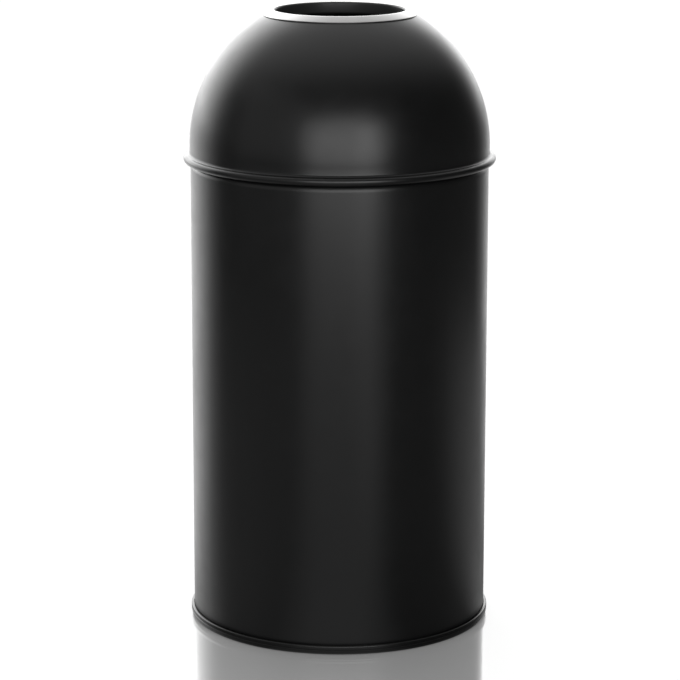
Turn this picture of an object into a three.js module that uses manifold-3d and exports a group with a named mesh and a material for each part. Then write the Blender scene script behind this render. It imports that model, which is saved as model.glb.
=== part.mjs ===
// Dome top waste receptacle: a round steel body on a moulded base ring, a lift-off dome lid
// with a polished mouth, and a galvanised liner bucket with a swinging bail.
// Millimetres, +Z up, origin on the floor at the middle of the base. The front faces -Y.
import * as THREE from "three";
import { mergeVertices } from "three/addons/utils/BufferGeometryUtils.js";
import Module from "manifold-3d";

const wasm = await Module();
wasm.setup();

// Fits
const seatGap = 0.3; // between two pieces that rest on or are fixed to each other
const mouthClearance = 0.8; // lid collar inside the body's rim, so that the lid lifts off
const pinClearance = 0.4; // bail ends and rivets in their holes

// Body
const bodyRadius = 182; // outside of the wall
const bodyHeight = 573.5; // floor to the top of the rolled rim
const bodySheet = 1;
const bodyRimRadius = 6; // outside of the inward roll
const bodyRimTurn = 280; // degrees of that roll
const bodySeamWidth = 14;
const bodySeamMargin = 2; // seam ends short of the base ring and of the rim's roll

// Base ring
const ringHeight = 12;
const ringProud = 3.8; // how far it stands out from the body's wall
const ringFloor = 3; // flange under the wall's lower edge
const ringReach = 12; // how far that flange reaches in from the wall
const ringTopRound = 1.5;
const ringFootRound = 6; // the foot turns in to the floor
const ringGrooveHeight = 7; // line round the ring's outside
const ringGrooveDepth = 0.6;

// Body bottom
const panHeight = 17; // floor to the pan's upper face
const panSheet = 1;
const panFold = 3.5; // centre-line radius of the fold into its flange
const panRecess = 3; // depth of the pressed middle
const panRecessRadius = 112;

// Dome
const domeOverhang = 1; // its skirt's outside past the body's wall
const domeSheet = 1;
const domeSkirt = 15.5; // sphere's middle above the bead's middle
const mouthRadius = 82; // hole in the dome sheet
const beadRadius = 3.6; // outside of the rolled bead
const beadProud = 7.5; // how far the bead stands out from the skirt
const beadFillet = 2; // centre-line radius where the skirt turns out into the bead
const beadLift = 0.4; // bead's underside above the top of the body's rim
const beadTurn = 165; // degrees that the bead's curl goes on past its outermost point

// Opening trim
const trimSheet = 1.2;
const trimOuterRadius = 93.3;
const trimLipBend = 2.6; // centre-line radius of the turn into the mouth
const trimLipDrop = 9; // straight part of the lip
const trimCurl = 2.2; // centre-line radius of the curl under the dome's edge

// Lid collar
const collarSheet = 1.2;
const collarUpright = 16; // welded to the inside of the skirt
const collarDrop = 24; // reaches down into the body
const collarLead = 5; // tapered end that finds the mouth
const collarLeadIn = 1.5; // how far that end draws in
const collarFold = 1.5; // centre-line radius of its two folds

// Liner
const linerRadius = 157; // outside of the wall
const linerHeight = 508;
const linerSheet = 0.8;
const linerRimRadius = 3; // outside of the outward roll
const linerRimTurn = 280; // degrees of that roll
const linerSwageProud = 2;
const linerSwageHeight = 14; // each of the two stiffening beads
const linerSwages = [170, 340]; // their middles, above the liner's foot
const linerSeamWidth = 10;
const linerSeamMargin = 6; // seam ends short of the foot and of the rim
const linerFloorHeight = 9; // foot to the top of the liner's floor
const linerFloorFold = 2.5;

// Ears and rivets
const earSheet = 1.6;
const earWidth = 24;
const earHead = 9; // radius of the rounded top, about the bail's axis
const earDrop = 36; // bail's axis to the ear's lower edge
const earCorner = 3;
const rivetDrops = [15, 28]; // below the bail's axis
const rivetRadius = 2.2;
const rivetHeadRadius = 4;
const rivetHeadHeight = 1.8;
const rivetTailRadius = 3.4;
const rivetTailHeight = 1;

// Bail
const wireRadius = 2.2;
const bailPinEnd = 5; // how far each end passes the inside of its ear
const bailBend = 3.4; // centre-line radius of the corner by each ear
const gripLength = 100;
const gripRadius = 7.5;
const gripEndRadius = 6.3;
const gripPlay = 4; // straight wire past each end of the grip

// Fineness
const roundSegments = 40;
const wireSides = 8;
const smallSegments = 12;

// Where the pieces stand
const wallFoot = ringFloor + seatGap;
const domeRadius = bodyRadius + domeOverhang; // outside of the sphere and of the skirt below it
const bodyInside = bodyRadius - bodySheet;
const rimMouthRadius = bodyRadius - 2 * bodyRimRadius;
const beadHeight = bodyHeight + beadLift + beadRadius;
const domeCentre = beadHeight + domeSkirt;
const ledgeHeight = bodyHeight + seatGap;
const linerFoot = panHeight + seatGap;
const linerTop = linerFoot + linerHeight;
const linerInside = linerRadius - linerSheet;
const linerRimMiddle = linerInside + linerSheet / 2 + linerRimRadius - linerSheet / 2;
const trimLipMiddle = mouthRadius - seatGap - trimLipBend; // middle of the lip's sheet
const bailHeight = linerTop + seatGap + wireRadius;
const flatShare = Math.cos(Math.PI / roundSegments); // a facet's middle against its corners
const earOutside = Math.sqrt((linerInside * flatShare) ** 2 - (earWidth / 2) ** 2) - seatGap;
const earInside = earOutside - earSheet;

const blackPaint = { color: 0x1b1c1e, roughness: 0.36, metalness: 0.2 };
const blackVinyl = { color: 0x111112, roughness: 0.5, metalness: 0 };
const polishedSteel = { color: 0xd9dbdc, roughness: 0.18, metalness: 1 };
const galvanisedSteel = { color: 0xa9adb0, roughness: 0.42, metalness: 0.9 };
const zincWire = { color: 0x9a9da0, roughness: 0.35, metalness: 1 };
const blackGrip = { color: 0x202122, roughness: 0.6, metalness: 0 };

const degrees = THREE.MathUtils.degToRad;

function at(radius, height) {
  return new THREE.Vector2(radius, height);
}

// Points round a centre, from one angle to another, in degrees anticlockwise.
function arc(centre, radius, from, to, steps) {
  return Array.from({ length: steps + 1 }, (_, step) => {
    const angle = degrees(from + ((to - from) * step) / steps);
    return at(centre.x + radius * Math.cos(angle), centre.y + radius * Math.sin(angle));
  });
}

function leftOf(from, to) {
  const along = to.clone().sub(from).normalize();
  return at(-along.y, along.x);
}

// Outline of a sheet of even thickness whose middle follows a path, with mitred corners.
function sheetOutline(path, thickness) {
  const sides = path.map((here, index) => {
    const before = leftOf(path[Math.max(index - 1, 0)], path[Math.max(index, 1)]);
    const last = path.length - 1;
    const after = leftOf(path[Math.min(index, last - 1)], path[Math.min(index + 1, last)]);
    const mitre = before.clone().add(after).normalize();
    return mitre.multiplyScalar(thickness / 2 / mitre.dot(before));
  });
  const left = path.map((here, index) => here.clone().add(sides[index]));
  const right = path.map((here, index) => here.clone().sub(sides[index]));
  return [...left, ...right.reverse()];
}

// Solid of revolution about Z. The outline runs from the axis back to it, or is a loop.
function revolve(outline, segments = roundSegments) {
  const points = THREE.ShapeUtils.area(outline) < 0 ? outline.toReversed() : outline;
  const onAxis = points.findIndex((each, index) => each.x === 0 && points.at(index - 1).x === 0);
  const ordered = onAxis < 0 ? points : [...points.slice(onAxis), ...points.slice(0, onAxis)];
  const closed = onAxis < 0 ? [...ordered, ordered[0].clone()] : ordered;
  return new THREE.LatheGeometry(closed, segments).rotateX(Math.PI / 2);
}

function solidOf(geometry) {
  const bare = geometry.clone();
  bare.deleteAttribute("normal");
  bare.deleteAttribute("uv");
  const merged = mergeVertices(bare, 1e-3);
  const mesh = new wasm.Mesh({
    numProp: 3,
    vertProperties: merged.attributes.position.array,
    triVerts: new Uint32Array(merged.index.array),
  });
  return new wasm.Manifold(mesh);
}

function geometryOf(solid) {
  const mesh = solid.getMesh();
  const geometry = new THREE.BufferGeometry();
  geometry.setAttribute("position", new THREE.BufferAttribute(mesh.vertProperties, 3));
  geometry.setIndex(new THREE.BufferAttribute(mesh.triVerts, 1));
  geometry.computeVertexNormals();
  return geometry;
}

function piece(name, geometry, finish) {
  const mesh = new THREE.Mesh(geometry, new THREE.MeshStandardMaterial(finish));
  mesh.name = name;
  return mesh;
}

// The lap of a rolled sheet's two ends at the back: a second layer over a narrow strip.
function lapSeam(path, thickness, width) {
  const embedded = 0.1 * thickness;
  const outward = path.map((each) => at(each.x + thickness - embedded, each.y));
  const layer = solidOf(revolve(sheetOutline(outward, thickness)));
  const reach = path[0].x;
  const height = 2 * path.at(-1).y;
  const strip = new THREE.BoxGeometry(width, reach, height).translate(0, reach, 0);
  return layer.intersect(solidOf(strip));
}

function bodyShell() {
  const middle = bodyRadius - bodySheet / 2;
  const rimCentre = at(bodyRadius - bodyRimRadius, bodyHeight - bodyRimRadius);
  const roll = arc(rimCentre, bodyRimRadius - bodySheet / 2, 0, bodyRimTurn, 7);
  const wall = revolve(sheetOutline([at(middle, wallFoot), ...roll], bodySheet));
  const seamPath = [
    at(middle, ringHeight + bodySeamMargin),
    at(middle, rimCentre.y - bodySeamMargin),
  ];
  const seam = lapSeam(seamPath, bodySheet, bodySeamWidth);
  return geometryOf(solidOf(wall).add(seam));
}

function baseRing() {
  const outside = bodyRadius + ringProud;
  const recess = bodyRadius + seatGap;
  const inside = bodyRadius - ringReach;
  const footCentre = at(outside - ringFootRound, ringFootRound);
  const topCentre = at(outside - ringTopRound, ringHeight - ringTopRound);
  return revolve([
    at(inside, 0),
    ...arc(footCentre, ringFootRound, -90, 0, 4),
    at(outside, ringGrooveHeight - ringGrooveDepth),
    at(outside - ringGrooveDepth, ringGrooveHeight),
    at(outside, ringGrooveHeight + ringGrooveDepth),
    ...arc(topCentre, ringTopRound, 0, 90, 2),
    at(recess, ringHeight),
    at(recess, ringFloor),
    at(inside, ringFloor),
  ]);
}

function bodyBottom() {
  const floor = panHeight - panSheet / 2;
  const flange = bodyInside - seatGap - panSheet / 2;
  return revolve(
    sheetOutline(
      [
        at(0, floor - panRecess),
        at(panRecessRadius, floor - panRecess),
        at(panRecessRadius + panRecess, floor),
        ...arc(at(flange - panFold, floor - panFold), panFold, 90, 0, 2),
        at(flange, wallFoot),
      ],
      panSheet,
    ),
  );
}

function domeShell() {
  const middle = domeRadius - domeSheet / 2;
  const tube = beadRadius - domeSheet / 2;
  const centre = at(0, domeCentre);
  const beadCentre = at(domeRadius + beadProud - beadRadius, beadHeight);
  const filletX = middle + beadFillet;
  const apart = beadFillet + tube;
  const rise = Math.sqrt(apart ** 2 - (beadCentre.x - filletX) ** 2);
  const filletCentre = at(filletX, beadHeight + rise);
  const turn = THREE.MathUtils.radToDeg(Math.atan2(rise, beadCentre.x - filletX));
  const mouthAngle = THREE.MathUtils.radToDeg(Math.acos(mouthRadius / middle));
  return revolve(
    sheetOutline(
      [
        ...arc(centre, middle, mouthAngle, 0, 8),
        ...arc(filletCentre, beadFillet, 180, 360 - turn, 2),
        ...arc(beadCentre, tube, 180 - turn, -beadTurn, 7).slice(1),
      ],
      domeSheet,
    ),
  );
}

function openingTrim() {
  const middle = domeRadius + seatGap + trimSheet / 2;
  const bendX = trimLipMiddle + trimLipBend;
  const edgeAngle = THREE.MathUtils.radToDeg(Math.acos(trimOuterRadius / middle));
  const bendAngle = THREE.MathUtils.radToDeg(Math.acos(bendX / (middle - trimLipBend)));
  const bendCentre = arc(at(0, domeCentre), middle - trimLipBend, bendAngle, bendAngle, 1)[0];
  const lipFoot = bendCentre.y - trimLipDrop;
  return revolve(
    sheetOutline(
      [
        ...arc(at(0, domeCentre), middle, edgeAngle, bendAngle, 2),
        ...arc(bendCentre, trimLipBend, bendAngle, 180, 2).slice(1),
        ...arc(at(trimLipMiddle + trimCurl, lipFoot), trimCurl, 180, 360, 3),
      ],
      trimSheet,
    ),
  );
}

function lidCollar() {
  const half = collarSheet / 2;
  const upright = domeRadius - domeSheet - seatGap - half;
  const drop = rimMouthRadius - mouthClearance - half;
  const ledge = ledgeHeight + half;
  return revolve(
    sheetOutline(
      [
        at(upright, ledge + collarUpright),
        ...arc(at(upright - collarFold, ledge + collarFold), collarFold, 0, -90, 2),
        ...arc(at(drop + collarFold, ledge - collarFold), collarFold, 90, 180, 2),
        at(drop, ledge - collarDrop),
        at(drop - collarLeadIn, ledge - collarDrop - collarLead),
      ],
      collarSheet,
    ),
  );
}

// Straight wall with two swaged beads, up to the start of the rim's roll.
function linerWallPath(from, to) {
  const middle = linerRadius - linerSheet / 2;
  const beads = linerSwages.flatMap((above) => {
    const height = linerFoot + above;
    return [
      at(middle, height - linerSwageHeight / 2),
      at(middle + linerSwageProud, height),
      at(middle, height + linerSwageHeight / 2),
    ];
  });
  return [at(middle, from), ...beads, at(middle, to)];
}

function linerShell() {
  const rimCentre = at(linerRimMiddle, linerTop - linerRimRadius);
  const wall = linerWallPath(linerFoot, rimCentre.y);
  const roll = arc(rimCentre, linerRimRadius - linerSheet / 2, 180, 180 - linerRimTurn, 5);
  const shell = solidOf(revolve(sheetOutline([...wall.slice(0, -1), ...roll], linerSheet)));
  const seamPath = linerWallPath(linerFoot + linerSeamMargin, rimCentre.y - linerSeamMargin);
  const seam = lapSeam(seamPath, linerSheet, linerSeamWidth);
  const holes = rivetDrops.map((drop) => {
    const bore = rivetRadius + pinClearance;
    const drill = new THREE.CylinderGeometry(bore, bore, 2 * linerRadius + linerRimRadius, smallSegments);
    return solidOf(drill.rotateZ(Math.PI / 2).translate(0, 0, bailHeight - drop));
  });
  return geometryOf(holes.reduce((left, hole) => left.subtract(hole), shell.add(seam)));
}

function linerBottom() {
  const floor = linerFoot + linerFloorHeight - linerSheet / 2;
  const flange = linerInside - seatGap - linerSheet / 2;
  return revolve(
    sheetOutline(
      [
        at(0, floor),
        ...arc(at(flange - linerFloorFold, floor - linerFloorFold), linerFloorFold, 90, 0, 2),
        at(flange, linerFoot),
      ],
      linerSheet,
    ),
  );
}

// Flat plate with a rounded head. It faces +X, with the bail's axis through its origin.
function linerEar() {
  const side = earWidth / 2;
  const foot = -earDrop;
  const plate = new THREE.Shape();
  plate.moveTo(earHead, 0);
  plate.absarc(0, 0, earHead, 0, Math.PI, false);
  plate.lineTo(-side, -earHead);
  plate.absarc(-side + earCorner, foot + earCorner, earCorner, Math.PI, 1.5 * Math.PI, false);
  plate.absarc(side - earCorner, foot + earCorner, earCorner, 1.5 * Math.PI, 2 * Math.PI, false);
  plate.lineTo(side, -earHead);
  const holes = [0, ...rivetDrops].map((drop) => {
    const bore = (drop ? rivetRadius : wireRadius) + pinClearance;
    return new THREE.Path().absarc(0, -drop, bore, 0, 2 * Math.PI, true);
  });
  plate.holes.push(...holes);
  const settings = { depth: earSheet, bevelEnabled: false, curveSegments: smallSegments / 2 };
  const ear = new THREE.ExtrudeGeometry(plate, settings);
  return ear.rotateX(Math.PI / 2).rotateZ(Math.PI / 2);
}

// Turned about Z from its head, inside the ear, to its tail, outside the wall.
function earRivet() {
  const headFace = earInside - seatGap;
  const tailFace = linerRadius + seatGap;
  const dome = [
    at(0, headFace - rivetHeadHeight),
    at(rivetHeadRadius * 0.7, headFace - rivetHeadHeight * 0.7),
    at(rivetHeadRadius, headFace),
  ];
  const tail = [
    at(rivetRadius, tailFace),
    at(rivetTailRadius, tailFace),
    at(rivetTailRadius, tailFace + rivetTailHeight),
    at(0, tailFace + rivetTailHeight),
  ];
  const outline = [...dome, at(rivetRadius, headFace), ...tail];
  return revolve(outline, smallSegments).rotateY(Math.PI / 2);
}

// A formed wire: straight steps between its points, each point a ring of the tube.
class WireCurve extends THREE.Curve {
  constructor(points) {
    super();
    this.points = points;
  }
  getPoint(share, target = new THREE.Vector3()) {
    const place = share * (this.points.length - 1);
    const index = Math.min(Math.floor(place), this.points.length - 2);
    return target.lerpVectors(this.points[index], this.points[index + 1], place - index);
  }
  getUtoTmapping(share) {
    return share;
  }
}

const bailRadius = linerRimMiddle;
const gripHalfWire = gripLength / 2 + gripPlay;
const gripReach = Math.sqrt(bailRadius ** 2 - gripHalfWire ** 2);
const bailTilt = Math.asin((gripRadius - wireRadius) / gripReach);

// In the XY plane: from one pin, round the liner, to the other, with the grip's straight at +Y.
function bailWire() {
  const cornerAngle = THREE.MathUtils.radToDeg(Math.asin(bailBend / bailRadius));
  const gripAngle = THREE.MathUtils.radToDeg(Math.acos(gripHalfWire / bailRadius));
  const side = [
    at(earInside - bailPinEnd, 0),
    ...arc(at(bailRadius - bailBend, bailBend), bailBend, -90, 0, 3),
    ...arc(at(0, 0), bailRadius, cornerAngle, gripAngle, 8).slice(1),
  ];
  const mirrored = side.map((each) => at(-each.x, each.y)).reverse();
  const route = [...side, ...mirrored].map((each) => new THREE.Vector3(each.x, each.y, 0));
  const section = new THREE.Shape().absarc(0, 0, wireRadius, 0, 2 * Math.PI, false);
  return new THREE.ExtrudeGeometry(section, {
    steps: route.length - 1,
    curveSegments: wireSides,
    bevelEnabled: false,
    extrudePath: new WireCurve(route),
  });
}

// Barrel-shaped sleeve along X, turned on its own bore.
function bailGrip() {
  const half = gripLength / 2;
  const bore = wireRadius + pinClearance;
  const swell = gripRadius - gripEndRadius;
  const steps = 6;
  const barrel = Array.from({ length: steps + 1 }, (_, step) => {
    const along = (2 * step) / steps - 1;
    return at(gripRadius - swell * along ** 2, half * along);
  });
  const sleeve = revolve([at(bore, -half), ...barrel, at(bore, half)], smallSegments);
  return sleeve.rotateY(Math.PI / 2).translate(0, gripReach, 0);
}

function bail() {
  const group = new THREE.Group();
  group.position.z = bailHeight;
  group.rotation.x = bailTilt;
  group.add(piece("bail_wire", bailWire(), zincWire), piece("bail_grip", bailGrip(), blackGrip));
  return group;
}

// One ear with its two rivets, on the +X side of a group that turns it to its own side.
function earSide(name, turn) {
  const group = new THREE.Group();
  group.rotation.z = turn;
  const ear = piece("ear_" + name, linerEar(), galvanisedSteel);
  ear.position.set(earInside, 0, bailHeight);
  const rivets = rivetDrops.map((drop, index) => {
    const rivet = piece("ear_rivet_" + name + "_" + (index + 1), earRivet(), zincWire);
    rivet.position.z = bailHeight - drop;
    return rivet;
  });
  group.add(ear, ...rivets);
  return group;
}

const body = new THREE.Group();
body.add(
  piece("body_shell", bodyShell(), blackPaint),
  piece("body_bottom", bodyBottom(), blackPaint),
  piece("base_ring", baseRing(), blackVinyl),
);

const lid = new THREE.Group();
lid.add(
  piece("dome_shell", domeShell(), blackPaint),
  piece("opening_trim", openingTrim(), polishedSteel),
  piece("lid_collar", lidCollar(), blackPaint),
);

const liner = new THREE.Group();
liner.add(
  piece("liner_shell", linerShell(), galvanisedSteel),
  piece("liner_bottom", linerBottom(), galvanisedSteel),
  earSide("right", 0),
  earSide("left", Math.PI),
  bail(),
);

const receptacle = new THREE.Group();
receptacle.add(body, lid, liner);

export default receptacle;
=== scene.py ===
import math

import bmesh
import bpy
from mathutils import Matrix, Vector


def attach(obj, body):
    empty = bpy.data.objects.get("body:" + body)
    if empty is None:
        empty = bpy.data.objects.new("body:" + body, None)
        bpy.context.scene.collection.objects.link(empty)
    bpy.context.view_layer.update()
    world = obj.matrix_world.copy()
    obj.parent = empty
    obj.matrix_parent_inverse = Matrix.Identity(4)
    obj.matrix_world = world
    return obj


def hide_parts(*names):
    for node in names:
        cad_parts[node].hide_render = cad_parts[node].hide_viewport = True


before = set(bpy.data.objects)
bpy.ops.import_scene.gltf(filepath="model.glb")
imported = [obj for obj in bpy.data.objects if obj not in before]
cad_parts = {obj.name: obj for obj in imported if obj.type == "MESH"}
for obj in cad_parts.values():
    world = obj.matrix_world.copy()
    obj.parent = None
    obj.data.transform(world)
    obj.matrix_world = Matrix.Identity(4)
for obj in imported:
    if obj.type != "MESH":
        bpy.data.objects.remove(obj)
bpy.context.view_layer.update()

# Lengths are in millimetres, radii and heights as on the drawing of the part.
MM = 0.001
ROUND = 192  # flats round the big turned pieces
FRONT = Vector((0, -1, 0))

SHEET = 1.0
BODY_WALL = 181.5
BODY_SHOULDER = 563.75
BEAD_HEIGHT = 577.2
DOME_MIDDLE = 182.5
DOME_CENTRE = 593.0
MOUTH_LIP = 79.1
LINER_WALL = 156.6
LINER_FOOT = 17.3
LINER_RIM = 522.3
BAIL_HEIGHT = 527.8
BAIL_TILT = 2.03
BAIL_RADIUS = 159.2
GRIP_REACH = 149.76
EAR_FACE = 153.45
EAR_THICKNESS = 1.6
RIVET_DROPS = (15, 28)  # below the bail's hole in the ear


# Drawing and shaping


def quarter(axis):
    return Matrix.Rotation(math.pi / 2, 4, axis)


def moved(x, y, z):
    return Matrix.Translation(Vector((x, y, z)) * MM)


class Section:
    """A line drawn in the XZ plane from point to point and round arcs, for turning about Z."""

    def __init__(self, radius, height):
        self.mesh = bmesh.new()
        self.first = self.mesh.verts.new((radius * MM, 0, height * MM))
        self.tip = self.first

    def to(self, radius, height):
        self.tip = bmesh.ops.extrude_vert_indiv(self.mesh, verts=[self.tip])["verts"][0]
        self.tip.co = (radius * MM, 0, height * MM)
        return self

    def round(self, radius, height, degrees, steps):
        """On round a centre, anticlockwise as seen from the front."""
        swung = bmesh.ops.spin(
            self.mesh,
            geom=[self.tip],
            cent=(radius * MM, 0, height * MM),
            axis=FRONT,
            angle=math.radians(degrees),
            steps=steps,
        )
        self.tip = next(each for each in swung["geom_last"] if isinstance(each, bmesh.types.BMVert))
        return self

    def swage(self, height, proud, half, crown):
        """A pressed rib: a fillet out of the wall, a rounded crown, and a fillet back."""
        lean = 2 * math.atan(proud / half)
        spread = half / math.sin(lean)
        fillet = spread - crown
        wall = self.tip.co.x / MM
        self.to(wall, height - half)
        self.round(wall + fillet, height - half, -math.degrees(lean), 5)
        self.round(wall + proud - crown, height, 2 * math.degrees(lean), 10)
        self.round(wall + fillet, height + half, -math.degrees(lean), 5)
        return self

    def close(self):
        self.mesh.edges.new((self.tip, self.first))
        return self


def turned(section, steps=ROUND, degrees=360):
    """Turns a section about Z, and welds the ends of a full turn."""
    mesh = section.mesh
    bmesh.ops.spin(
        mesh,
        geom=mesh.verts[:] + mesh.edges[:],
        cent=(0, 0, 0),
        axis=(0, 0, 1),
        angle=math.radians(degrees),
        steps=steps,
        use_merge=degrees == 360,
    )
    bmesh.ops.remove_doubles(mesh, verts=mesh.verts[:], dist=1e-6)
    bmesh.ops.recalc_face_normals(mesh, faces=mesh.faces[:])
    return mesh


def piece(name, mesh, finish, body, nodes, place=Matrix()):
    """Makes an object of a finished mesh, hides the parts that it stands for, and hangs it on the
    body that it rides on.
    """
    mesh.transform(place)
    data = bpy.data.meshes.new(name)
    mesh.to_mesh(data)
    mesh.free()
    data.materials.append(finish)
    made = bpy.data.objects.new(name, data)
    bpy.context.collection.objects.link(made)
    dress(made, 40)
    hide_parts(*nodes)
    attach(made, body)
    return made


def dress(made, degrees):
    """Smooth faces, with the edges sharper than an angle kept sharp."""
    made.data.shade_smooth()
    made.data.set_sharp_from_angle(angle=math.radians(degrees))


def sheet_metal(made, thickness, edge=0.25):
    """Gives a single skin the thickness of its sheet, and breaks the sheet's edges."""
    wall = made.modifiers.new("sheet", "SOLIDIFY")
    wall.thickness = thickness * MM
    wall.offset = 0
    wall.use_even_offset = True
    broken = made.modifiers.new("broken_edge", "BEVEL")
    broken.width = edge * MM
    broken.segments = 2
    broken.limit_method = "ANGLE"
    broken.angle_limit = math.radians(60)
    bpy.context.view_layer.update()
    solid = made.evaluated_get(bpy.context.evaluated_depsgraph_get())
    skin = made.data
    made.data = bpy.data.meshes.new_from_object(solid)
    made.data.name = made.name
    made.modifiers.clear()
    bpy.data.meshes.remove(skin)
    dress(made, 40)
    return made


class Wire:
    """A round wire in the XY plane, run on from its end by straights and bends."""

    def __init__(self, place, radius, sides):
        self.mesh = bmesh.new()
        across = moved(*place) @ quarter("Y")
        bmesh.ops.create_circle(
            self.mesh, segments=sides, radius=radius * MM, matrix=across, cap_ends=False
        )
        self.end = self.mesh.edges[:]

    def straight(self, x, y):
        run = bmesh.ops.extrude_edge_only(self.mesh, edges=self.end)["geom"]
        verts = [each for each in run if isinstance(each, bmesh.types.BMVert)]
        bmesh.ops.translate(self.mesh, verts=verts, vec=Vector((x, y, 0)) * MM)
        self.end = [each for each in run if isinstance(each, bmesh.types.BMEdge)]
        return self

    def bend(self, x, y, degrees, steps):
        swung = bmesh.ops.spin(
            self.mesh,
            geom=self.end + list({vert for edge in self.end for vert in edge.verts}),
            cent=Vector((x, y, 0)) * MM,
            axis=(0, 0, 1),
            angle=math.radians(degrees),
            steps=steps,
        )
        self.end = [each for each in swung["geom_last"] if isinstance(each, bmesh.types.BMEdge)]
        return self

    def mirrored(self):
        """The other half, across the YZ plane, with both ends closed."""
        mesh = self.mesh
        bmesh.ops.mirror(
            mesh,
            geom=mesh.verts[:] + mesh.edges[:] + mesh.faces[:],
            merge_dist=1e-6,
            axis="X",
        )
        bmesh.ops.remove_doubles(mesh, verts=mesh.verts[:], dist=1e-6)
        bmesh.ops.holes_fill(mesh, edges=[edge for edge in mesh.edges if edge.is_boundary])
        bmesh.ops.recalc_face_normals(mesh, faces=mesh.faces[:])
        return mesh


# Shader nodes


class Value:
    """A number that changes over a surface. Sums on it add their Math nodes."""

    def __init__(self, socket):
        self.socket = socket

    def math(self, operation, *terms):
        return add_node(self.socket.id_data, "ShaderNodeMath", {"operation": operation}, terms)

    def __add__(self, other):
        return self.math("ADD", self, other)

    def __radd__(self, other):
        return self.math("ADD", other, self)

    def __sub__(self, other):
        return self.math("SUBTRACT", self, other)

    def __rsub__(self, other):
        return self.math("SUBTRACT", other, self)

    def __mul__(self, other):
        return self.math("MULTIPLY", self, other)

    def __rmul__(self, other):
        return self.math("MULTIPLY", other, self)


def add_node(tree, kind, settings, inputs, output=0):
    """Any node: its settings first, then the value or link of each of its sockets."""
    node = tree.nodes.new(kind)
    for name, setting in settings.items():
        if name == "stops":
            set_stops(node.color_ramp, setting)
        else:
            setattr(node, name, setting)
    pairs = inputs.items() if isinstance(inputs, dict) else enumerate(inputs)
    for key, given in pairs:
        socket = find_socket(node, key)
        if isinstance(given, Value):
            tree.links.new(given.socket, socket)
        else:
            socket.default_value = given
    return Value(node.outputs[output])


def find_socket(node, key):
    if isinstance(key, int):
        return node.inputs[key]
    return next(each for each in node.inputs if key in (each.identifier, each.name))


def set_stops(ramp, stops):
    while len(ramp.elements) < len(stops):
        ramp.elements.new(0.5)
    for element, (position, colour) in zip(ramp.elements, stops):
        element.position = position
        element.color = colour


def smooth_step(tree, value, low, high, start=0.0, end=1.0):
    """Smoothly from start to end, as a value goes from low to high."""
    inputs = {"Value": value, "From Min": low, "From Max": high, "To Min": start, "To Max": end}
    return add_node(tree, "ShaderNodeMapRange", {"interpolation_type": "SMOOTHSTEP"}, inputs)


class Finish:
    """A material being made: its nodes, and the surface that they feed."""

    def __init__(self, name, **surface):
        self.material = bpy.data.materials.new(name)
        self.material.use_nodes = True
        self.tree = self.material.node_tree
        self.surface = self.tree.nodes["Principled BSDF"]
        for socket, value in surface.items():
            self.surface.inputs[socket.replace("_", " ")].default_value = value
        self.place = self.node("ShaderNodeTexCoord", {}, {}, "Object")

    def node(self, kind, settings, inputs, output=0):
        return add_node(self.tree, kind, settings, inputs, output)

    def along(self, name):
        """One coordinate of the place on the piece, in metres."""
        return self.node("ShaderNodeSeparateXYZ", {}, {"Vector": self.place}, name)

    def stretched(self, x, y, z):
        """The place on the piece, with its three directions scaled."""
        return self.node("ShaderNodeMapping", {}, {"Vector": self.place, "Scale": (x, y, z)})

    def noise(self, scale, detail=2.0, roughness=0.5, vector=None):
        inputs = {
            "Vector": vector or self.place,
            "Scale": scale,
            "Detail": detail,
            "Roughness": roughness,
        }
        return self.node("ShaderNodeTexNoise", {}, inputs)

    def between(self, value, low, high, start=0.0, end=1.0):
        return smooth_step(self.tree, value, low, high, start, end)

    def blend(self, factor, one, other):
        """From one colour to another."""
        inputs = {"Factor_Float": factor, "A_Color": one, "B_Color": other}
        return self.node("ShaderNodeMix", {"data_type": "RGBA"}, inputs, 2)

    def feed(self, socket, value):
        self.tree.links.new(value.socket, self.surface.inputs[socket])

    def relief(self, *layers):
        """Bumps on the surface: pairs of a height from 0 to 1 and its depth in millimetres."""
        normal = None
        for height, depth in layers:
            inputs = {"Height": height, "Distance": depth * MM, "Strength": 1.0}
            if normal:
                inputs["Normal"] = normal
            normal = self.node("ShaderNodeBump", {}, inputs)
        self.feed("Normal", normal)


def grey(level, warmth=0.0):
    return (level * (1 + warmth), level, level * (1 - warmth), 1.0)


# Finishes


def black(paint, cloud):
    """Black that is a little lighter where the coat is thin."""
    return paint.blend(cloud, grey(0.0045, -0.02), grey(0.0068, -0.02))


def orange_peel(paint):
    return paint.noise(750, detail=1.5), 0.006


def grey_inside_sheet(paint, colour):
    """The dome's sheet is dark grey, not black, on the side toward the dome's centre."""
    centre = (0, 0, DOME_CENTRE * MM)
    measure = {"operation": "DISTANCE"}
    out = paint.node("ShaderNodeVectorMath", measure, [paint.place, centre], 1)
    outside = paint.between(out, (DOME_MIDDLE - 0.2) * MM, (DOME_MIDDLE + 0.2) * MM)
    return paint.blend(outside, grey(0.06), colour)


def satin_paint(name, waves, grey_inside=False):
    """Baked satin black paint: fine orange peel, and the faint waves of rolled sheet below it."""
    paint = Finish(name, IOR=1.5)
    colour = black(paint, paint.noise(14, detail=3))
    # The dome's inside is dark grey rather than black, so it shows lighter through the mouth.
    paint.feed("Base Color", grey_inside_sheet(paint, colour) if grey_inside else colour)
    handling = paint.between(paint.noise(38, detail=4, roughness=0.6), 0.35, 0.75)
    paint.feed("Roughness", 0.30 + 0.035 * handling)
    sheet = paint.noise(1.0, detail=1, vector=paint.stretched(*waves))
    paint.relief((sheet, 0.25), orange_peel(paint))
    return paint.material


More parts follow.
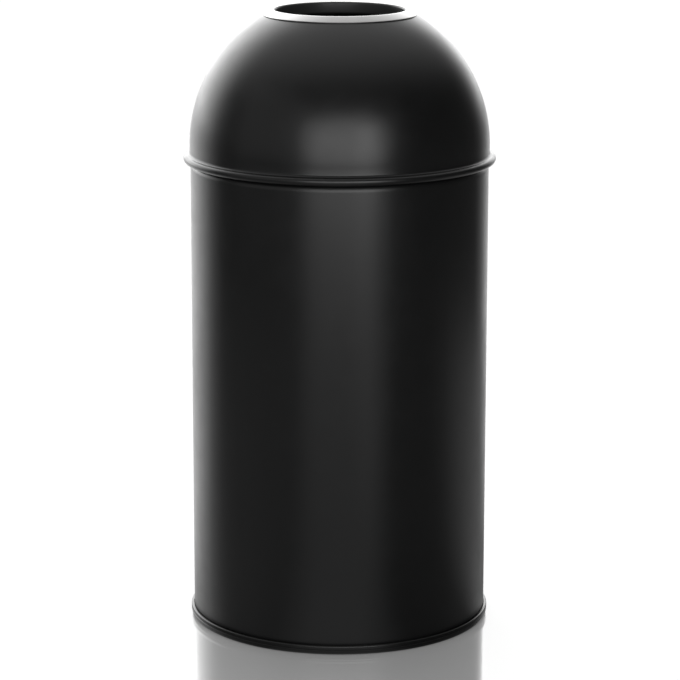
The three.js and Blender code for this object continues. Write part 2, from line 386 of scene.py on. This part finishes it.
def seam_paint():
    """The same paint over the lap seam, with the row of spot welds showing through."""
    paint = Finish("body_seam_paint", IOR=1.5)
    cloud = paint.noise(14, detail=3)
    paint.feed("Base Color", black(paint, cloud))
    paint.feed("Roughness", 0.30 + 0.05 * cloud)
    pitch = 32 * MM
    welds = paint.along("Z") * (1 / pitch)
    up = (welds.math("FRACT", welds) - 0.5) * pitch
    across = paint.along("X")
    apart = up.math("SQRT", up * up + across * across)
    dimple = paint.between(apart, 1.0 * MM, 4.5 * MM)
    paint.relief((dimple, 0.15), orange_peel(paint))
    return paint.material


def ring_vinyl():
    """Black moulded vinyl, fine grained, with a little dust worn into its lower edge."""
    vinyl = Finish("base_ring_vinyl", IOR=1.45)
    patches = vinyl.noise(55, detail=4, roughness=0.65)
    low = vinyl.between(vinyl.along("Z"), 0.5 * MM, 4 * MM, 1.0, 0.0)
    dust = low * vinyl.between(patches, 0.42, 0.7)
    vinyl.feed("Base Color", vinyl.blend(dust, grey(0.003), grey(0.010, 0.05)))
    vinyl.feed("Roughness", 0.28 + 0.06 * patches + 0.15 * dust)
    vinyl.relief((vinyl.noise(1400, detail=2), 0.01))
    return vinyl.material


def trim_steel():
    """Polished steel with the lathe's fine rings, lacquered black inside the mouth."""
    steel = Finish("opening_trim_steel")
    out = steel.node("ShaderNodeVectorMath", {"operation": "LENGTH"}, [steel.stretched(1, 1, 0)], 1)
    line = steel.node("ShaderNodeCombineXYZ", {}, {"X": out * 2600, "Y": steel.along("Z") * 2600})
    rings = steel.noise(1.0, detail=3, roughness=0.7, vector=line)
    smear = steel.noise(45, detail=3)
    bare = steel.between(out, (MOUTH_LIP + 0.7) * MM, (MOUTH_LIP + 1.1) * MM)
    polished = steel.blend(smear, grey(0.38, 0.01), grey(0.44, 0.005))
    steel.feed("Base Color", steel.blend(bare, grey(0.04), polished))
    steel.feed("Metallic", bare)
    steel.feed("Roughness", 0.34 + 0.08 * smear - bare * (0.10 - 0.10 * rings))
    steel.relief((rings, 0.004))
    return steel.material


def galvanised_steel():
    """Hot-dipped sheet: zinc spangles, each with its own grey and gloss."""
    zinc = Finish("galvanised_steel", Metallic=0.92)
    drift = zinc.noise(30, detail=2)
    wander = zinc.node(
        "ShaderNodeVectorMath",
        {"operation": "MULTIPLY_ADD"},
        {0: zinc.node("ShaderNodeTexNoise", {}, {"Vector": zinc.place, "Scale": 60}, 1),
         1: (0.006, 0.006, 0.006), 2: zinc.place},
    )
    crystal = {"Vector": wander, "Scale": 95}
    shade = zinc.node("ShaderNodeTexVoronoi", {}, crystal, "Color")
    tone = zinc.node("ShaderNodeSeparateColor", {}, [shade])
    other = zinc.node("ShaderNodeSeparateColor", {}, [shade], 1)
    edge = zinc.node("ShaderNodeTexVoronoi", {"feature": "DISTANCE_TO_EDGE"}, crystal)
    line = zinc.between(edge, 0.0, 0.06)
    shown = tone * 0.75 + 0.25 * drift
    zinc.feed("Base Color", zinc.blend(shown, grey(0.36, -0.02), grey(0.56, -0.015)))
    zinc.feed("Roughness", 0.30 + 0.18 * other + 0.05 * drift)
    zinc.relief((line, 0.008), (other, 0.01))
    return zinc.material


def zinc_wire():
    """Drawn wire and rivets with a bright zinc skin, dulled in patches."""
    zinc = Finish("zinc_wire", Metallic=0.95)
    dull = zinc.between(zinc.noise(120, detail=4, roughness=0.6), 0.4, 0.68)
    zinc.feed("Base Color", zinc.blend(dull, grey(0.58, -0.01), grey(0.40, -0.01)))
    zinc.feed("Roughness", 0.24 + 0.22 * dull)
    zinc.relief((zinc.noise(900, detail=3), 0.008))
    return zinc.material


def grip_plastic():
    """Black moulded grip with a fine sand-blasted grain."""
    plastic = Finish("grip_plastic", IOR=1.46)
    rubbed = plastic.noise(60, detail=3)
    plastic.feed("Base Color", plastic.blend(rubbed, grey(0.012), grey(0.02)))
    plastic.feed("Roughness", 0.46 + 0.14 * rubbed)
    plastic.relief((plastic.noise(1800, detail=2), 0.02))
    return plastic.material


# Camera, table and light


def photo_camera():
    data = bpy.data.cameras.new("photo_camera")
    data.sensor_width = 36
    data.lens = 154.52
    camera = bpy.data.objects.new("photo_camera", data)
    bpy.context.collection.objects.link(camera)
    pitched = Matrix.Rotation(math.radians(90 - 12.831), 4, "X")
    rolled = Matrix.Rotation(math.radians(0.089), 4, "Z")
    camera.matrix_world = Matrix.Translation((0.000744, -3.523833, 1.150112)) @ pitched @ rolled
    bpy.context.scene.camera = camera


def lamp(name, place, aim, width, height, radiance):
    """A soft box that doesn't show, to the camera or in the table's reflection."""
    data = bpy.data.lights.new(name, "AREA")
    data.shape = "RECTANGLE"
    data.size = width
    data.size_y = height
    data.energy = radiance * math.pi * width * height
    data.use_nodes = True
    mirror = add_node(data.node_tree, "ShaderNodeLightPath", {}, {}, "Is Singular Ray")
    strength = data.node_tree.nodes["Emission"].inputs["Strength"]
    data.node_tree.links.new((1 - mirror).socket, strength)
    box = bpy.data.objects.new(name, data)
    bpy.context.collection.objects.link(box)
    box.location = place
    box.rotation_euler = (Vector(aim) - Vector(place)).to_track_quat("-Z", "Y").to_euler()
    box.visible_camera = False


def first_seen(tree):
    """1 for what the camera sees directly or in the polished table, and 0 otherwise."""
    camera = add_node(tree, "ShaderNodeLightPath", {}, {}, "Is Camera Ray")
    mirror = add_node(tree, "ShaderNodeLightPath", {}, {}, "Is Singular Ray")
    return camera.math("MAXIMUM", camera, mirror)


def studio_world():
    """A white backdrop. The object sees its glow behind and overhead, and a dim room in front."""
    world = bpy.data.worlds.new("studio")
    world.use_nodes = True
    bpy.context.scene.world = world
    tree = world.node_tree
    background = tree.nodes["Background"]
    toward = add_node(tree, "ShaderNodeTexCoord", {}, {}, "Generated")

    def glow(direction, edge, middle, strength):
        """Light from round a direction: the edge and the middle are cosines from it."""
        both = [toward, Vector(direction).normalized()]
        facing = add_node(tree, "ShaderNodeVectorMath", {"operation": "DOT_PRODUCT"}, both, 1)
        return smooth_step(tree, facing, edge, middle, 0.0, strength)

    behind = glow((-0.26, 0.97, 0.03), 0.48, 0.97, 3.5)
    overhead = glow((-0.08, 0.4, 1), 0.4, 1.0, 0.83)
    room = 0.04 + behind + overhead
    seen = first_seen(tree)
    strength = seen + (1 - seen) * room
    tree.links.new(strength.socket, background.inputs["Strength"])
    background.inputs["Color"].default_value = (1, 1, 1, 1)


# Painted light and shade on the table's near part as the object sees it, by direction from the
# object as a share of a full turn.
# It starts at the left, and the front is at 0.25. The dark sectors right and left of the camera are
# painted shade where no flags stand, and the bright ones are painted light.
TABLE_PAINTED_LIGHT = (
    (0.0, 0.35), (0.1, 0.25), (0.165, 0.15), (0.215, 0.9), (0.275, 0.95), (0.335, 0.05),
    (0.45, 0.05), (0.53, 1.0), (0.62, 1.0), (0.7, 0.2), (1.0, 0.35),
)


def layered(tree, share, colour, roughness):
    """A matt colour under a share of white gloss."""
    base = add_node(tree, "ShaderNodeBsdfDiffuse", {}, {"Color": colour})
    coat = {"Color": grey(1.0), "Roughness": roughness}
    gloss = add_node(tree, "ShaderNodeBsdfGlossy", {}, coat)
    return add_node(tree, "ShaderNodeMixShader", {}, [share, base, gloss])


def table_as_seen(tree):
    """White, with the object's reflection and shadow."""
    bright = add_node(tree, "ShaderNodeEmission", {}, {"Strength": 0.11})
    white = layered(tree, 0.74, grey(1.0), 0.0)
    return add_node(tree, "ShaderNodeAddShader", {}, [white, bright])


def table_as_reflected(tree):
    """Dim, as the object shows it: a darker copy of the table, which is painted shade, glossier to
    the back, with a painted glow near the object broken by painted shade in the dark sectors.
    """
    place = add_node(tree, "ShaderNodeTexCoord", {}, {}, "Object")
    back = add_node(tree, "ShaderNodeSeparateXYZ", {}, [place], "Y")
    shine = smooth_step(tree, back, -0.2, 0.5, 0.2, 0.48)
    heading = add_node(tree, "ShaderNodeTexGradient", {"gradient_type": "RADIAL"}, [place], 1)
    stops = [(turn, grey(level)) for turn, level in TABLE_PAINTED_LIGHT]
    # Painted light and shade: the table's brightness by direction, seen only in the object's
    # reflections.
    painted_light_by_heading = add_node(tree, "ShaderNodeValToRGB", {"stops": stops}, [heading])
    away = add_node(tree, "ShaderNodeVectorMath", {"operation": "LENGTH"}, [place], 1)
    near = smooth_step(tree, away, 1.1, 1.9, 1.0, 0.0)
    dim = layered(tree, shine, grey(0.08), 0.12)
    # Painted light: the table glows near the object where the sectors are bright.
    lit = add_node(tree, "ShaderNodeEmission", {}, {"Strength": 0.34})
    return add_node(tree, "ShaderNodeMixShader", {}, [painted_light_by_heading * near, dim, lit])


def polished_table():
    """A white acrylic table that reaches past the edges of the picture."""
    mesh = bmesh.new()
    bmesh.ops.create_grid(mesh, x_segments=2, y_segments=2, size=30)
    data = bpy.data.meshes.new("floor")
    mesh.to_mesh(data)
    mesh.free()
    floor = bpy.data.objects.new("floor", data)
    bpy.context.collection.objects.link(floor)
    material = bpy.data.materials.new("white_acrylic")
    material.use_nodes = True
    tree = material.node_tree
    tree.nodes.remove(tree.nodes["Principled BSDF"])
    both = [first_seen(tree), table_as_reflected(tree), table_as_seen(tree)]
    surface = add_node(tree, "ShaderNodeMixShader", {}, both)
    tree.links.new(surface.socket, tree.nodes["Material Output"].inputs["Surface"])
    data.materials.append(material)


def studio_lamps():
    """A wide soft box round the camera, a strip that brightens its right end, and a left card."""
    aim = (0, 0, 0.45)
    lamp("key_box", (0.21, -3.4, 1.15), aim, 3.9, 2.1, 2.35)
    lamp("key_strip", (1.2, -3.35, 1.0), aim, 0.7, 1.9, 1.2)
    lamp("left_card", (-2.5, -1.5, 1.5), aim, 2.8, 2.6, 0.3)


# Body


def body_wall(paint):
    """A straight wall that turns in at a soft shoulder and ends in a rolled rim."""
    bend = 11
    curl = 3.5
    lean = 50
    turn = math.radians(lean)
    inset = bend - curl
    wall = Section(BODY_WALL, 3.3).to(BODY_WALL, BODY_SHOULDER)
    wall.round(BODY_WALL - bend, BODY_SHOULDER, lean, 12)
    middle = BODY_WALL - bend + inset * math.cos(turn)
    wall.round(middle, BODY_SHOULDER + inset * math.sin(turn), 235, 30)
    made = piece("body_wall", turned(wall), paint, "body", ["body_shell"])
    return sheet_metal(made, SHEET)


def body_seam(paint):
    """The lap of the rolled sheet, up the back."""
    radius = 182.3
    strip = Section(radius, 14).to(radius, BODY_SHOULDER)
    half = math.degrees(7 / radius)
    mesh = turned(strip, 6, 2 * half)
    start = Matrix.Rotation(math.radians(90 - half), 4, "Z")
    made = piece("body_seam", mesh, paint, "body", ["body_shell"], start)
    return sheet_metal(made, 0.9)


def body_pan(paint):
    """The bottom, with a step pressed into it and its edge turned down."""
    pan = Section(0, 13.5).to(111, 13.5).round(111, 15, 45, 3)
    pan.to(113.5, 15.6).round(114.6, 15, -45, 3)
    pan.to(176.7, 16.5).round(176.7, 13, -90, 8).to(180.2, 3.3)
    made = piece("body_pan", turned(pan), paint, "body", ["body_bottom"])
    return sheet_metal(made, SHEET)


def foot_ring(vinyl):
    """The moulded ring round the foot, with its parting groove."""
    ring = Section(170, 0.6).round(170.6, 0.6, 90, 3)
    ring.to(179.8, 0).round(179.8, 6, 90, 14)
    ring.to(185.8, 6.4).to(185.2, 7).to(185.8, 7.6)
    ring.to(185.8, 10.2).round(184, 10.2, 90, 8)
    ring.to(182.6, 12).to(182.3, 11.7).to(182.3, 3).to(170.6, 3).to(170, 2.4).close()
    return piece("foot_ring", turned(ring), vinyl, "body", ["base_ring"])


# Lid


def dome(paint):
    """Spun steel: the crown, a short skirt, a fillet and the rolled bead."""
    mouth = math.degrees(math.acos(82 / DOME_MIDDLE))
    tube = 4.2
    bead = 185.8
    neck = 4
    fillet = DOME_MIDDLE + neck
    rise = math.sqrt((neck + tube) ** 2 - (bead - fillet) ** 2)
    turn = math.degrees(math.atan2(rise, bead - fillet))
    high = DOME_CENTRE + DOME_MIDDLE * math.sin(math.radians(mouth))
    shell = Section(82, high).round(0, DOME_CENTRE, -mouth, 44)
    shell.to(DOME_MIDDLE, BEAD_HEIGHT + rise).round(fillet, BEAD_HEIGHT + rise, 180 - turn, 8)
    shell.round(bead, BEAD_HEIGHT, -(180 - turn + 140), 30)
    made = piece("dome", turned(shell), paint, "lid", ["dome_shell"])
    return sheet_metal(made, SHEET)


def mouth_trim(steel):
    """The polished band on the dome's edge, its lip into the mouth, and the curl below it."""
    middle = 183.6
    outer = 93.3
    bend = 2.6
    centre = middle - bend
    edge = math.degrees(math.acos(outer / middle))
    inner = math.degrees(math.acos((MOUTH_LIP + bend) / centre))
    high = DOME_CENTRE + middle * math.sin(math.radians(edge))
    top = DOME_CENTRE + centre * math.sin(math.radians(inner))
    band = Section(outer, high).round(0, DOME_CENTRE, inner - edge, 8)
    band.round(MOUTH_LIP + bend, top, 180 - inner, 12)
    band.to(MOUTH_LIP, top - 9).round(MOUTH_LIP + 2.2, top - 9, 180, 12)
    made = piece("mouth_trim", turned(band), steel, "lid", ["opening_trim"])
    return sheet_metal(made, 1.2, 0.35)


def locating_collar(paint):
    """The ring inside the skirt that steps in and drops into the body's rim."""
    ring = Section(181.1, 590.4).to(181.1, 575.9).round(179.6, 575.9, -90, 6)
    ring.to(170.1, 574.4).round(170.1, 572.9, 90, 6)
    ring.to(168.6, 550.4).to(167.1, 545.4)
    made = piece("locating_collar", turned(ring), paint, "lid", ["lid_collar"])
    return sheet_metal(made, 1.2)


# Liner


def ribbed(radius, start):
    """The liner's side up to above its two ribs."""
    side = Section(radius, start)
    for height in (LINER_FOOT + 170, LINER_FOOT + 340):
        side.swage(height, proud=2, half=7, crown=8)
    return side


def liner_wall(steel):
    wall = ribbed(LINER_WALL, LINER_FOOT)
    wall.to(LINER_WALL, LINER_RIM).round(LINER_WALL + 2.6, LINER_RIM, -280, 24)
    made = piece("liner_wall", turned(wall), steel, "liner", ["liner_shell"])
    return sheet_metal(made, 0.8)


def liner_seam(steel):
    """The lap of the liner's sheet, up the back and over its ribs."""
    radius = LINER_WALL + 0.7
    strip = ribbed(radius, LINER_FOOT + 6).to(radius, LINER_RIM - 6)
    half = math.degrees(5 / radius)
    start = Matrix.Rotation(math.radians(90 - half), 4, "Z")
    mesh = turned(strip, 4, 2 * half)
    made = piece("liner_seam", mesh, steel, "liner", ["liner_shell"], start)
    return sheet_metal(made, 0.7)


def liner_pan(steel):
    pan = Section(0, 25.9).to(153, 25.9).round(153, 23.4, -90, 6).to(155.5, LINER_FOOT)
    made = piece("liner_pan", turned(pan), steel, "liner", ["liner_bottom"])
    return sheet_metal(made, 0.8)


def ear(side, turn, steel):
    """A riveted plate with a rounded head, holed for the bail and two rivets."""
    plate = Section(9, 0).round(0, 0, 180, 24).to(-12, -9).to(-12, -33)
    plate.round(-9, -33, 90, 6).to(9, -36).round(9, -33, 90, 6).to(12, -9).close()
    mesh = plate.mesh
    for drop in (0, *RIVET_DROPS):
        bore = moved(0, 0, -drop) @ quarter("X")
        bmesh.ops.create_circle(mesh, segments=24, radius=2.6 * MM, matrix=bore)
    bmesh.ops.triangle_fill(mesh, use_beauty=True, edges=mesh.edges[:], normal=FRONT)
    face = bmesh.ops.extrude_face_region(mesh, geom=mesh.faces[:])["geom"]
    verts = [each for each in face if isinstance(each, bmesh.types.BMVert)]
    bmesh.ops.translate(mesh, verts=verts, vec=(0, -EAR_THICKNESS * MM, 0))
    bmesh.ops.recalc_face_normals(mesh, faces=mesh.faces[:])
    sharp = [edge for edge in mesh.edges if edge.calc_face_angle(0) > 1]
    bmesh.ops.bevel(
        mesh, geom=sharp, offset=0.25 * MM, affect="EDGES", segments=2, profile=0.5, material=-1
    )
    place = Matrix.Rotation(turn, 4, "Z") @ moved(EAR_FACE, 0, BAIL_HEIGHT) @ quarter("Z")
    return piece("bail_ear_" + side, mesh, steel, "liner", ["ear_" + side], place)


def rivet(side, number, turn, zinc):
    """Along X: its domed head inside the ear, and its flattened tail outside the wall."""
    head = EAR_FACE - 0.3
    nail = Section(0, head - 1.8).round(0, head + 3.5, math.degrees(math.asin(4 / 5.66)), 8)
    nail.to(4, head).to(2.2, head).to(2.2, 157.3).to(3.1, 157.3)
    nail.round(3.1, 157.8, 90, 4).to(2.6, 158.3).to(0, 158.3)
    height = BAIL_HEIGHT - RIVET_DROPS[number - 1]
    place = Matrix.Rotation(turn, 4, "Z") @ moved(0, 0, height) @ quarter("Y")
    name = f"rivet_{side}_{number}"
    node = f"ear_rivet_{side}_{number}"
    return piece(name, turned(nail, 32), zinc, "liner", [node], place)


# Bail


def bail_place():
    """From the bail's own plane to where it lies at rest, a little above level."""
    return moved(0, 0, BAIL_HEIGHT) @ Matrix.Rotation(math.radians(BAIL_TILT), 4, "X")


def bail_wire(zinc):
    """Half the wire, from its pin round to the middle of the grip, and its mirror."""
    corner = 3.4
    knee = 20
    along = math.sqrt((BAIL_RADIUS - knee) ** 2 - (GRIP_REACH - knee) ** 2)
    start = math.degrees(math.asin(corner / BAIL_RADIUS))
    stop = math.degrees(math.acos(along / (BAIL_RADIUS - knee)))
    pin = EAR_FACE - 5
    wire = Wire((pin, 0, 0), 2.2, 16).straight(BAIL_RADIUS - corner - pin, 0)
    wire.bend(BAIL_RADIUS - corner, corner, 90, 8)
    wire.bend(0, 0, stop - start, 48)
    wire.bend(along, GRIP_REACH - knee, 90 - stop, 8)
    wire.straight(-along, 0)
    mesh = wire.mirrored()
    return piece("bail_bow", mesh, zinc, "bail", ["bail_wire"], bail_place())


def bail_grip(plastic):
    """A moulded barrel with a collar at each end."""
    swell = (50**2 + 1.2**2) / (2 * 1.2)  # radius of the barrel's long curve
    lean = math.degrees(math.asin(46 / swell))
    grip = Section(2.6, -50).to(5.6, -50).round(5.6, -49.3, 90, 4).to(6.3, -47)
    grip.to(5.7, -46.4).to(5.9, -45.6)
    grip.to(7.5 - swell + swell * math.cos(math.radians(lean)), -46 + 0.8)
    grip.round(7.5 - swell, 0, 2 * lean - 0.5, 24)
    grip.to(5.9, 45.6).to(5.7, 46.4).to(6.3, 47)
    grip.to(6.3, 49.3).round(5.6, 49.3, 90, 4).to(2.6, 50).close()
    lying = moved(0, GRIP_REACH, 0) @ quarter("Y")
    mesh = turned(grip, 40)
    return piece("bail_handle", mesh, plastic, "bail", ["bail_grip"], bail_place() @ lying)


photo_camera()
studio_world()
polished_table()
studio_lamps()

body_paint = satin_paint("body_satin_paint", (26, 26, 1.2))
lid_paint = satin_paint("lid_satin_paint", (9, 9, 9), grey_inside=True)
galvanised = galvanised_steel()
wire_zinc = zinc_wire()

body_wall(body_paint)
body_seam(seam_paint())
body_pan(body_paint)
foot_ring(ring_vinyl())
dome(lid_paint)
mouth_trim(trim_steel())
locating_collar(lid_paint)
liner_wall(galvanised)
liner_seam(galvanised)
liner_pan(galvanised)
for side, turn in (("right", 0), ("left", math.pi)):
    ear(side, turn, galvanised)
    for number in (1, 2):
        rivet(side, number, turn, wire_zinc)
bail_wire(wire_zinc)
bail_grip(grip_plastic())

bpy.context.scene.view_settings.view_transform = "Standard"
